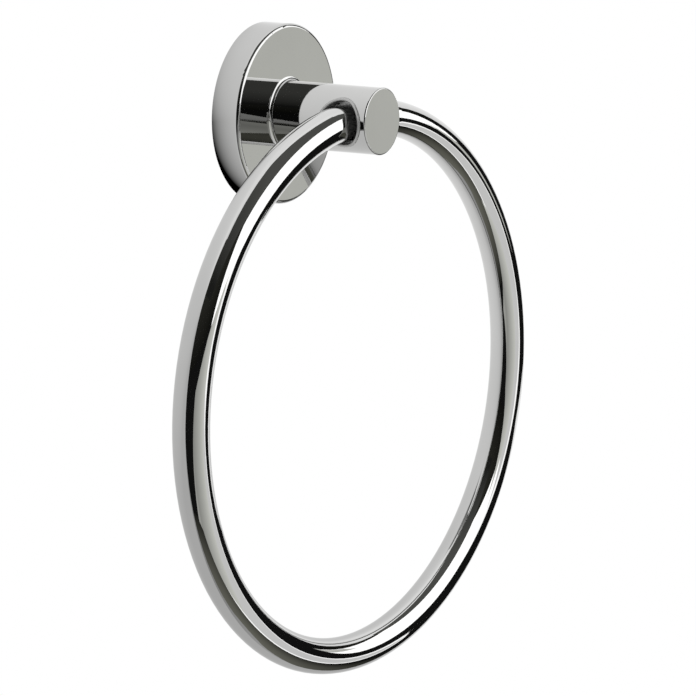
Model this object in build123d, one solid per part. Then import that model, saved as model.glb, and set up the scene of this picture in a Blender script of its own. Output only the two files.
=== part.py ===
from build123d import *
import os
from math import asin, cos, degrees, radians

# Towel ring: a round wall flange with a short post, and a loose ring that swings in the post.
# All sizes are in millimetres and degrees. The origin is the centre of the flange on the wall.
# +Y points into the wall, -Y into the room and +Z up.

# Flange and post, one casting
flange_d = 54.0
flange_t = 9.5
flange_rim = 3.0
flange_skin = 3.0
flange_edge_r = 1.1
flange_back_chamfer = 0.3
post_d = 20.0
post_reach = 42.5
post_root_r = 1.2
post_end_r = 0.4
eye_to_end = 8.9
core_d = 12.0
core_end_wall = 2.5

# Ring, bent from round rod; its two ends run straight where they meet inside the post
rod_d = 10.8
ring_mean_d = 162.8
journal_half = 9.0
journal_bend_r = 35.0
ring_seam = 0.3

# Sleeve that lines the eye of the post, and how the ring hangs loose in it
bush_bore_d = 13.0
bush_wall = 0.85
bush_proud = 0.5
bush_lip_r = 0.3
bush_clearance = 0.02
ring_drop = 0.5
ring_turn = 3.7

# Pin that joins the two drilled ends of the rod
pin_d = 5.0
pin_half = 5.0
pin_clearance = 0.05
pin_end_gap = 0.5
pin_chamfer = 0.5

# Disc that is screwed to the wall under the flange
plate_side_clearance = 0.2
plate_front_clearance = 0.3
plate_groove_depth = 1.2
wall_hole_d = 4.8
wall_hole_spacing = 28.0
countersink_d = 9.2
countersink_angle = 90.0

# Set screw that holds the flange on the disc
screw_d = 4.0
screw_clearance = 0.05
screw_recess = 0.4
screw_socket_af = 2.0
screw_socket_depth = 1.6

# Sizes that follow from the ones above
cavity_r = flange_d / 2 - flange_rim
cavity_depth = flange_t - flange_skin
plate_r = cavity_r - plate_side_clearance
plate_t = cavity_depth - plate_front_clearance
eye_y = -(post_reach - eye_to_end)
eye_r = bush_bore_d / 2 + bush_wall
ring_r = ring_mean_d / 2
pin_hole_r = pin_d / 2 + pin_clearance
screw_y = -plate_t / 2

FROM_START = (Align.CENTER, Align.CENTER, Align.MIN)
AROUND_Y = Plane.XZ
ALONG_X = Rotation(0, 90, 0)


def disc(radius, depth):
    """A cylinder that stands on the wall plane and reaches out into the room."""
    return AROUND_Y * Cylinder(radius, depth, align=FROM_START)


def round_edge(body, radius, y):
    """The circular edge of a given radius at a given distance from the wall."""
    circles = body.edges().filter_by(GeomType.CIRCLE)
    return circles.filter_by(
        lambda edge: abs(edge.radius - radius) < 1e-3 and abs(edge.center().Y - y) < 1e-3
    )


def make_bracket():
    """Flange and post in one piece, hollow at the back, with the eye and the screw hole."""
    body = disc(flange_d / 2, flange_t) + disc(post_d / 2, post_reach)
    body = fillet(round_edge(body, post_d / 2, -flange_t), post_root_r)
    body = fillet(round_edge(body, flange_d / 2, -flange_t), flange_edge_r)
    body = fillet(round_edge(body, post_d / 2, -post_reach), post_end_r)
    body = chamfer(round_edge(body, flange_d / 2, 0), flange_back_chamfer)
    core_reach = -eye_y - eye_r - core_end_wall
    body -= disc(cavity_r, cavity_depth)
    body -= disc(core_d / 2, core_reach)
    body -= Pos(0, eye_y, 0) * ALONG_X * Cylinder(eye_r, post_d)
    body -= Pos(0, screw_y, -flange_d / 2) * Cylinder(screw_d / 2, flange_d)
    return body


def make_bush():
    """Sleeve through the eye, its two ends shaped to the post, just proud of it, with round lips."""
    sleeve = Cylinder(eye_r - bush_clearance, post_d + 2 * bush_proud)
    sleeve -= Cylinder(bush_bore_d / 2, post_d + 2 * bush_proud)
    sleeve = Pos(0, eye_y, 0) * ALONG_X * sleeve
    sleeve &= disc(post_d / 2 + bush_proud, post_reach)
    lips = sleeve.edges().filter_by(lambda edge: edge.geom_type != GeomType.LINE)
    return fillet(lips, bush_lip_r)


def rod_section():
    """Cross-section of the rod, facing along X at the origin."""
    return Plane.YZ * Circle(rod_d / 2)


def make_ring():
    """Round ring with a straight journal at its top, open at a hidden seam and drilled there."""
    bend_offset = ring_r - journal_bend_r
    bend_angle = degrees(asin(journal_half / bend_offset))
    centre_z = -journal_bend_r - bend_offset * cos(radians(bend_angle))
    journal = Pos(ring_seam / 2, 0, 0) * extrude(rod_section(), journal_half - ring_seam / 2)
    bend_axis = Axis((journal_half, 0, -journal_bend_r), (0, 1, 0))
    bend = revolve(Pos(journal_half, 0, 0) * rod_section(), bend_axis, bend_angle)
    hoop = revolve(Pos(0, 0, ring_r) * rod_section(), Axis.Y, 360 - 2 * bend_angle)
    hoop = Pos(0, 0, centre_z) * Rotation(0, bend_angle, 0) * hoop
    half = journal + bend
    ring = hoop + half + mirror(half, about=Plane.YZ)
    ring -= ALONG_X * Cylinder(pin_hole_r, 2 * (pin_half + pin_end_gap))
    return hang(ring)


def make_ring_pin():
    """Pin inside the rod, across the seam."""
    pin = Cylinder(pin_d / 2, 2 * pin_half)
    pin = chamfer(pin.edges().filter_by(GeomType.CIRCLE), pin_chamfer)
    return hang(ALONG_X * pin)


def hang(piece):
    """Place a piece of the ring where it hangs, low and slightly turned in the loose sleeve."""
    return Pos(0, eye_y, -ring_drop) * Rotation(0, 0, -ring_turn) * piece


def make_wall_plate():
    """Disc with a groove round its edge and two countersunk holes, one above the other."""
    groove = Polyline(
        (plate_r, screw_y - plate_groove_depth),
        (plate_r - plate_groove_depth, screw_y),
        (plate_r, screw_y + plate_groove_depth),
        close=True,
    )
    plate = disc(plate_r, plate_t) - revolve(make_face(groove), Axis.Y)
    hole = CounterSinkHole(wall_hole_d / 2, countersink_d / 2, plate_t, countersink_angle)
    front = AROUND_Y.offset(plate_t)
    for side in (-1, 1):
        plate -= front * Pos(0, side * wall_hole_spacing / 2, 0) * hole
    return plate


def make_set_screw():
    """Set screw with a cone point in the groove of the disc and a hexagon socket below."""
    head_z = -(flange_d / 2 - screw_recess)
    tip_z = -(plate_r - plate_groove_depth)
    radius = screw_d / 2 - screw_clearance
    shank = tip_z - head_z - radius
    screw = Cylinder(radius, shank, align=FROM_START)
    screw += Pos(0, 0, shank) * Cone(radius, 0, radius, align=FROM_START)
    socket = RegularPolygon(screw_socket_af / 2, 6, major_radius=False)
    screw -= extrude(socket, screw_socket_depth)
    return Pos(0, screw_y, head_z) * screw


os.makedirs("parts", exist_ok=True)
export_step(make_bracket(), "parts/bracket.step")
export_step(make_bush(), "parts/bush.step")
export_step(make_ring(), "parts/ring.step")
export_step(make_ring_pin(), "parts/ring_pin.step")
export_step(make_wall_plate(), "parts/wall_plate.step")
export_step(make_set_screw(), "parts/set_screw.step")
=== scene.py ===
import math

import bpy
from mathutils import Matrix, Vector

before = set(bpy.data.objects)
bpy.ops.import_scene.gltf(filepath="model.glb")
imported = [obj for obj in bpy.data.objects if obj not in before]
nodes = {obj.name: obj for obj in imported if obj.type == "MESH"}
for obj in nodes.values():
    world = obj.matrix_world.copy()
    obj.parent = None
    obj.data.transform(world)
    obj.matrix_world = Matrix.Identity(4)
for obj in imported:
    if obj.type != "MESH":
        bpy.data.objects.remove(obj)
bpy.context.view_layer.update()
scene = bpy.context.scene
scene.view_settings.view_transform = "Standard"

# Places are in metres, directions in degrees and the lens in millimetres

# Camera: where it stands, a point it looks at, and its small roll
CAMERA_AT = Vector((-0.9217, -0.6065, 0.1565))
CAMERA_AIM = Vector((-0.0088, -0.0355, -0.0672))
CAMERA_ROLL = math.radians(0.42)
CAMERA_LENS = 191.6
CAMERA_SENSOR = 36.0
CAMERA_CLIP_START = 0.01
CAMERA_CLIP_END = 50.0
UP = Vector((0.0, 0.0, 1.0))

# Surfaces: the part of a noise that is used, its detail, and the strength of the bump.
# Reflections at grazing angles are slightly tinted.
NOISE_ENDS = (0.3, 0.7)
STAIN_DETAIL = 4.0
GRAIN_DETAIL = 3.0
BUMP_STRENGTH = 0.3
EDGE_TINT = (0.9, 0.9, 0.9, 1.0)

# Colours of light
WHITE = (1.0, 1.0, 1.0)
OLIVE = (1.0, 1.0, 0.84)
CREAM = (1.0, 1.01, 0.95)

# Surroundings: their light as seen directly, and in polished metal from below to above and by side
SKY_LIGHT = 1.0
SKY_RISE = (0.47, 1.31)
SKY_SIDE = (-0.24, 0.24)
SKY_ENDS = (-1.0, 1.0)

# Dark room around the middle of the ring, and the floor below it
STUDIO_CENTRE = Vector((0.0, -0.034, -0.08))
ROOM_RADIUS = 3.6
ROOM_LIGHT = 0.01
CEILING_LIGHT = 0.045
GROUND_LIGHT = (0.22, 0.02)
SCREEN_STEPS = 24
FLOOR_Z = -2.0
FLOOR_RADIUS = 3.0
FLOOR_STEPS = 96

# Cards that the metal mirrors: their light, and where they are
SOFTBOX_LIGHT = 2.2
BOARD_Z = 0.3
BOARD_LIGHT = (0.02, 0.12)
BOARD_LIGHT_ENDS = (-0.42, -0.02)
FRONT_CARD_LIGHT = (0.45, 0.98)
PANEL_DISTANCE = 2.2
PANEL_LIGHT = 1.0
PANEL_RIM_DISTANCE = 2.9
PANEL_RIM_LIGHT = 1.9
RIGHT_DISTANCE = 1.0
RIGHT_LIGHT = 1.4
FACE_CARD_X = 0.4
FACE_CARD_Y = (-0.302, -0.236)
FACE_CARD_Z = (-0.112, -0.02)
FACE_CARD_LIGHT = 0.85

# Wall: a round sheet with a hole behind the flange
WALL_Y = 0.0004
WALL_HOLE = 0.026
WALL_RADIUS = 1.6
WALL_STEPS = 48

# Light of the wall: it grows along a slope, and near the flange a shade takes it away.
# The shade ends sooner above the flange than below it.
WALL_SLOPE = (1.48, 0.0, 2.0)
WALL_SLOPE_ENDS = (-0.42, 0.16)
WALL_LIGHT = (0.72, 1.3)
SHADE_ENDS = (0.0272, 0.0672)
SHADE_POWERS = (0.0, -6.8)
SHADE_LEAN = 0.12
SHADE_LEAN_ABOVE = 0.4


def make_camera():
    """Camera at the viewing angle of the photograph."""
    forward = (CAMERA_AIM - CAMERA_AT).normalized()
    level = forward.cross(UP).normalized()
    right = Matrix.Rotation(CAMERA_ROLL, 3, forward) @ level
    up = right.cross(forward)
    data = bpy.data.cameras.new("camera")
    data.sensor_width = CAMERA_SENSOR
    data.lens = CAMERA_LENS
    data.clip_start = CAMERA_CLIP_START
    data.clip_end = CAMERA_CLIP_END
    camera = bpy.data.objects.new("camera", data)
    turn = Matrix((right, up, -forward)).transposed().to_4x4()
    camera.matrix_world = Matrix.Translation(CAMERA_AT) @ turn
    scene.collection.objects.link(camera)
    scene.camera = camera


def new_material(name):
    """An empty node material, its node tree and its output node."""
    material = bpy.data.materials.new(name)
    material.use_nodes = True
    tree = material.node_tree
    tree.nodes.clear()
    output = tree.nodes.new("ShaderNodeOutputMaterial")
    return material, tree, output


def coordinates(tree, kind="Object"):
    """Coordinates of a piece or of the surroundings, as a vector and as separate axes."""
    place = tree.nodes.new("ShaderNodeTexCoord")
    split = tree.nodes.new("ShaderNodeSeparateXYZ")
    tree.links.new(place.outputs[kind], split.inputs["Vector"])
    return place.outputs[kind], split.outputs


def noise(tree, coords, scale, detail):
    """Noise over the given coordinates."""
    node = tree.nodes.new("ShaderNodeTexNoise")
    node.inputs["Scale"].default_value = scale
    node.inputs["Detail"].default_value = detail
    tree.links.new(coords, node.inputs["Vector"])
    return node.outputs["Fac"]


def ramp(tree, factor, colours, ends):
    """Two colours mixed by a factor between two ends."""
    node = tree.nodes.new("ShaderNodeValToRGB")
    for stop, colour, end in zip(node.color_ramp.elements, colours, ends):
        stop.position = end
        stop.color = (*colour, 1.0)
    tree.links.new(factor, node.inputs["Fac"])
    return node.outputs["Color"]


def span(tree, factor, values, ends):
    """A factor between two ends spread over a range of values."""
    node = tree.nodes.new("ShaderNodeMapRange")
    node.inputs["From Min"].default_value, node.inputs["From Max"].default_value = ends
    node.inputs["To Min"].default_value, node.inputs["To Max"].default_value = values
    tree.links.new(factor, node.inputs["Value"])
    return node.outputs["Result"]


def math_node(tree, operation, *values):
    """The result of an operation on numbers and sockets."""
    node = tree.nodes.new("ShaderNodeMath")
    node.operation = operation
    for socket, value in zip(node.inputs, values):
        if isinstance(value, float):
            socket.default_value = value
        else:
            tree.links.new(value, socket)
    return node.outputs["Value"]


def vector_node(tree, operation, vector, other=None):
    """A number made from one vector, or from a vector and fixed values."""
    node = tree.nodes.new("ShaderNodeVectorMath")
    node.operation = operation
    tree.links.new(vector, node.inputs[0])
    if other:
        node.inputs[1].default_value = other
    return node.outputs["Value"]


def surface(name, metallic, colours, rough, stains, grain, bump_depth, stretch=(1, 1, 1)):
    """Principled surface whose colour and roughness vary over stains, with a fine bump."""
    material, tree, output = new_material(name)
    shader = tree.nodes.new("ShaderNodeBsdfPrincipled")
    tree.links.new(shader.outputs["BSDF"], output.inputs["Surface"])
    place = tree.nodes.new("ShaderNodeTexCoord")
    mapping = tree.nodes.new("ShaderNodeMapping")
    mapping.inputs["Scale"].default_value = stretch
    tree.links.new(place.outputs["Object"], mapping.inputs["Vector"])
    coords = mapping.outputs["Vector"]
    stain = noise(tree, coords, stains, STAIN_DETAIL)
    fine = noise(tree, coords, grain, GRAIN_DETAIL)
    tree.links.new(ramp(tree, stain, colours, NOISE_ENDS), shader.inputs["Base Color"])
    tree.links.new(span(tree, stain, rough, NOISE_ENDS), shader.inputs["Roughness"])
    shader.inputs["Metallic"].default_value = metallic
    shader.inputs["Specular Tint"].default_value = EDGE_TINT
    bump = tree.nodes.new("ShaderNodeBump")
    bump.inputs["Strength"].default_value = BUMP_STRENGTH
    bump.inputs["Distance"].default_value = bump_depth
    tree.links.new(fine, bump.inputs["Height"])
    tree.links.new(bump.outputs["Normal"], shader.inputs["Normal"])
    return material


def chrome(name, colours):
    """Polished chrome, nearly a mirror."""
    return surface(
        name,
        metallic=1.0,
        colours=colours,
        rough=(0.02, 0.04),
        stains=30.0,
        grain=900.0,
        bump_depth=0.0000004,
    )


def sleeve_steel(name):
    """Dark satin steel of the sleeve."""
    return surface(
        name,
        metallic=0.5,
        colours=((0.34, 0.34, 0.335), (0.42, 0.42, 0.415)),
        rough=(0.25, 0.35),
        stains=200.0,
        grain=1500.0,
        bump_depth=0.000004,
    )


def dull_steel(name, stretch=(1, 1, 1)):
    """Dull steel, with brush marks where its noise is stretched."""
    return surface(
        name,
        metallic=1.0,
        colours=((0.42, 0.42, 0.42), (0.56, 0.56, 0.55)),
        rough=(0.28, 0.45),
        stains=120.0,
        grain=1500.0,
        bump_depth=0.00003,
        stretch=stretch,
    )


def brass(name):
    """Drawn brass, with marks along the pin."""
    return surface(
        name,
        metallic=1.0,
        colours=((0.62, 0.45, 0.20), (0.72, 0.55, 0.28)),
        rough=(0.25, 0.4),
        stains=300.0,
        grain=1500.0,
        bump_depth=0.00003,
        stretch=(1, 6, 6),
    )


def floor_paint(name):
    """Pale grey paint."""
    return surface(
        name,
        metallic=0.0,
        colours=((0.74, 0.74, 0.73), (0.78, 0.78, 0.77)),
        rough=(0.6, 0.7),
        stains=2.0,
        grain=40.0,
        bump_depth=0.0005,
    )


def dress(node, material):
    """Give a node of the model its material."""
    slots = nodes[node].data.materials
    slots.clear()
    slots.append(material)


def direction(azimuth, elevation):
    """Unit vector to a place in the studio: azimuth 0 in front of the wall, 90 along +X."""
    turn, rise = math.radians(azimuth), math.radians(elevation)
    return Vector(
        (
            math.sin(turn) * math.cos(rise),
            -math.cos(turn) * math.cos(rise),
            math.sin(rise),
        )
    )


def only_mirrored(piece):
    """Let a sheet show in polished metal and nowhere else."""
    piece.visible_camera = False
    piece.visible_diffuse = False
    piece.visible_shadow = False
    piece.visible_volume_scatter = False


def glow(name, strengths, axis, tint, ends):
    """Light that is even, or that changes along an axis of a sheet between two ends."""
    material, tree, output = new_material(name)
    light = tree.nodes.new("ShaderNodeEmission")
    light.inputs["Color"].default_value = (*tint, 1.0)
    tree.links.new(light.outputs["Emission"], output.inputs["Surface"])
    if strengths[0] == strengths[1]:
        light.inputs["Strength"].default_value = strengths[0]
        return material
    _, axes = coordinates(tree)
    level = span(tree, axes[axis], strengths, ends)
    tree.links.new(level, light.inputs["Strength"])
    return material


def sheet(name, points, strengths, faces=None, axis="X", tint=WHITE, ends=(0.0, 1.0)):
    """A sheet of the studio that only the polished metal sees, in one face unless more are given."""
    mesh = bpy.data.meshes.new(name)
    mesh.from_pydata(points, [], faces or [range(len(points))])
    mesh.materials.append(glow(name, strengths, axis, tint, ends))
    piece = bpy.data.objects.new(name, mesh)
    scene.collection.objects.link(piece)
    only_mirrored(piece)
    return piece


def card(name, distance, light, corners):
    """An evenly lit card whose corners are directions from the middle of the studio."""
    points = [STUDIO_CENTRE + distance * direction(*corner) for corner in corners]
    sheet(name, points, (light, light))


def screen(name, rows, strengths, tint=WHITE):
    """Part of the round room: rows of elevation with the azimuths where each row starts and ends."""
    points, faces = [], []
    for elevation, left, right in rows:
        for step in range(SCREEN_STEPS + 1):
            azimuth = left + (right - left) * step / SCREEN_STEPS
            points.append(STUDIO_CENTRE + ROOM_RADIUS * direction(azimuth, elevation))
    for row in range(len(rows) - 1):
        for step in range(SCREEN_STEPS):
            first = row * (SCREEN_STEPS + 1) + step
            above = first + SCREEN_STEPS + 1
            faces.append((first, first + 1, above + 1, above))
    sheet(name, points, strengths, faces, "Z", tint, (points[0].z, points[-1].z))


def strip(name, columns, strengths, tint=WHITE):
    """A bent upright card: columns of x, y, bottom and top, with light that changes along x."""
    points = []
    for x, y, bottom, top in columns:
        points += [Vector((x, y, bottom)), Vector((x, y, top))]
    faces = [(i, i + 2, i + 3, i + 1) for i in range(0, len(points) - 2, 2)]
    across = [column[0] for column in columns]
    sheet(name, points, strengths, faces, "X", tint, (min(across), max(across)))


def make_world():
    """White surroundings, in polished metal brighter above and to the right."""
    world = bpy.data.worlds.new("surroundings")
    scene.world = world
    world.use_nodes = True
    tree = world.node_tree
    light = tree.nodes["Background"]
    light.inputs["Color"].default_value = (*WHITE, 1.0)
    _, axes = coordinates(tree, "Generated")
    rise = span(tree, axes["Z"], SKY_RISE, SKY_ENDS)
    side = span(tree, axes["X"], SKY_SIDE, SKY_ENDS)
    path = tree.nodes.new("ShaderNodeLightPath")
    choice = tree.nodes.new("ShaderNodeMix")
    tree.links.new(path.outputs["Is Glossy Ray"], choice.inputs["Factor"])
    choice.inputs["A"].default_value = SKY_LIGHT
    tree.links.new(math_node(tree, "ADD", rise, side), choice.inputs["B"])
    tree.links.new(choice.outputs["Result"], light.inputs["Strength"])


def make_floor():
    """Plain pale floor of the room, far below the ring."""
    bpy.ops.mesh.primitive_circle_add(
        vertices=FLOOR_STEPS, radius=FLOOR_RADIUS, fill_type="NGON", location=(0, 0, FLOOR_Z)
    )
    floor = bpy.context.object
    floor.name = "floor"
    floor.data.materials.append(floor_paint("floor_paint"))
    floor.visible_glossy = False


def make_room():
    """Dark room in front of the wall, paler towards its ceiling and its floor."""
    back = [(-38, -86, 100), (-25, -88, 104), (-10, -91, 95), (5, -93, 86), (12, -93, 80)]
    upper = [(12, -93, 80), (30, -92, 74), (45, -90, 72), (60, -84, 57)]
    ground = [(-78, -43, 61), (-72, -66, 81), (-60, -78, 95), (-50, -83, 101), (-38, -86, 100)]
    screen("back", back, (ROOM_LIGHT, ROOM_LIGHT))
    screen("upper_back", upper, (ROOM_LIGHT, CEILING_LIGHT), OLIVE)
    screen("ground", ground, GROUND_LIGHT, OLIVE)


def make_lamp_cards():
    """White softbox in front of the ring, and a dark grey board above it."""
    softbox = [
        (-0.09, -0.42, 0.26),
        (0.41, -0.23, 0.24),
        (0.97, -0.49, 0.0),
        (0.97, -0.85, -0.155),
        (-0.18, -1.19, 0.11),
    ]
    outline = [
        (-0.5, -0.1),
        (-0.23, -0.066),
        (-0.02, -0.036),
        (0.03, -0.06),
        (0.12, -0.095),
        (0.35, -0.12),
        (0.54, -0.16),
        (0.5, -0.42),
        (-0.5, -0.42),
    ]
    board = [(x, y, BOARD_Z) for x, y in outline]
    sheet("softbox", softbox, (SOFTBOX_LIGHT, SOFTBOX_LIGHT))
    sheet("board", board, BOARD_LIGHT, tint=CREAM, ends=BOARD_LIGHT_ENDS)


def make_pale_cards():
    """Pale bent card close in front of the ring, a paler panel with a white rim, and a light beside it."""
    front = [
        (-0.18, -0.1, -0.203, -0.198),
        (-0.285, -0.265, -0.37, -0.06),
        (-0.125, -0.35, -0.495, -0.01),
        (0.05, -0.385, -0.51, 0.0),
    ]
    panel = [(-1, 15), (20, 9), (20, -8), (30, -13), (46, -17.5), (62, -27.5), (16, -46.5), (-11, -47)]
    rim = [(-1, 14), (31, 5), (29, -7), (36, -13), (50, -17), (64, -28.5), (18, -49), (-14, -49)]
    right = [(64, -14.5), (75, -13), (86, -12), (92, -16), (90, -20), (79, -17.5)]
    strip("front_card", front, FRONT_CARD_LIGHT, CREAM)
    card("panel", PANEL_DISTANCE, PANEL_LIGHT, panel)
    card("panel_rim", PANEL_RIM_DISTANCE, PANEL_RIM_LIGHT, rim)
    card("right_light", RIGHT_DISTANCE, RIGHT_LIGHT, right)


def make_face_card():
    """Small grey card that the flat faces of the flange and the post mirror."""
    front, back = FACE_CARD_Y
    low, high = FACE_CARD_Z
    corners = [(front, low), (back, low), (back, high), (front, high)]
    points = [(FACE_CARD_X, y, z) for y, z in corners]
    sheet("face_card", points, (FACE_CARD_LIGHT, FACE_CARD_LIGHT), tint=CREAM)


def make_wall():
    """The white wall as polished metal sees it: brighter to the right and above, dim at the flange."""
    points, faces = [], []
    for step in range(WALL_STEPS):
        angle = math.tau * step / WALL_STEPS
        for radius in (WALL_HOLE, WALL_RADIUS):
            points.append((radius * math.cos(angle), WALL_Y, radius * math.sin(angle)))
        first, following = 2 * step, 2 * ((step + 1) % WALL_STEPS)
        faces.append((first, first + 1, following + 1, following))
    wall = sheet("wall", points, (1.0, 1.0), faces)
    tree = wall.data.materials[0].node_tree
    place, axes = coordinates(tree)
    slope = vector_node(tree, "DOT_PRODUCT", place, WALL_SLOPE)
    level = span(tree, slope, WALL_LIGHT, WALL_SLOPE_ENDS)
    reach = vector_node(tree, "LENGTH", place)
    leaning = math_node(tree, "MULTIPLY_ADD", axes["Z"], SHADE_LEAN, reach)
    above = math_node(tree, "MAXIMUM", axes["Z"], 0.0)
    edge = math_node(tree, "MULTIPLY_ADD", above, SHADE_LEAN_ABOVE, leaning)
    shade = math_node(tree, "EXPONENT", span(tree, edge, SHADE_POWERS, SHADE_ENDS))
    clear = math_node(tree, "SUBTRACT", 1.0, shade)
    strength = math_node(tree, "MULTIPLY", level, clear)
    tree.links.new(strength, tree.nodes["Emission"].inputs["Strength"])


# Materials of the pieces
# The bracket's chrome is darker than the ring's: painted shade, standing in for the dimmer wall that the
# bracket mirrors near the flange.
dress("bracket", chrome("bracket_chrome", ((0.45, 0.45, 0.445), (0.48, 0.48, 0.475))))
dress("ring", chrome("ring_chrome", ((0.50, 0.50, 0.495), (0.53, 0.53, 0.525))))
dress("bush", sleeve_steel("bush_steel"))
dress("wall_plate", dull_steel("plate_steel", stretch=(1, 1, 8)))
dress("set_screw", dull_steel("screw_steel"))
dress("ring_pin", brass("pin_brass"))

# Camera and studio
make_camera()
make_world()
make_floor()
make_room()
make_lamp_cards()
make_pale_cards()
make_face_card()
make_wall()
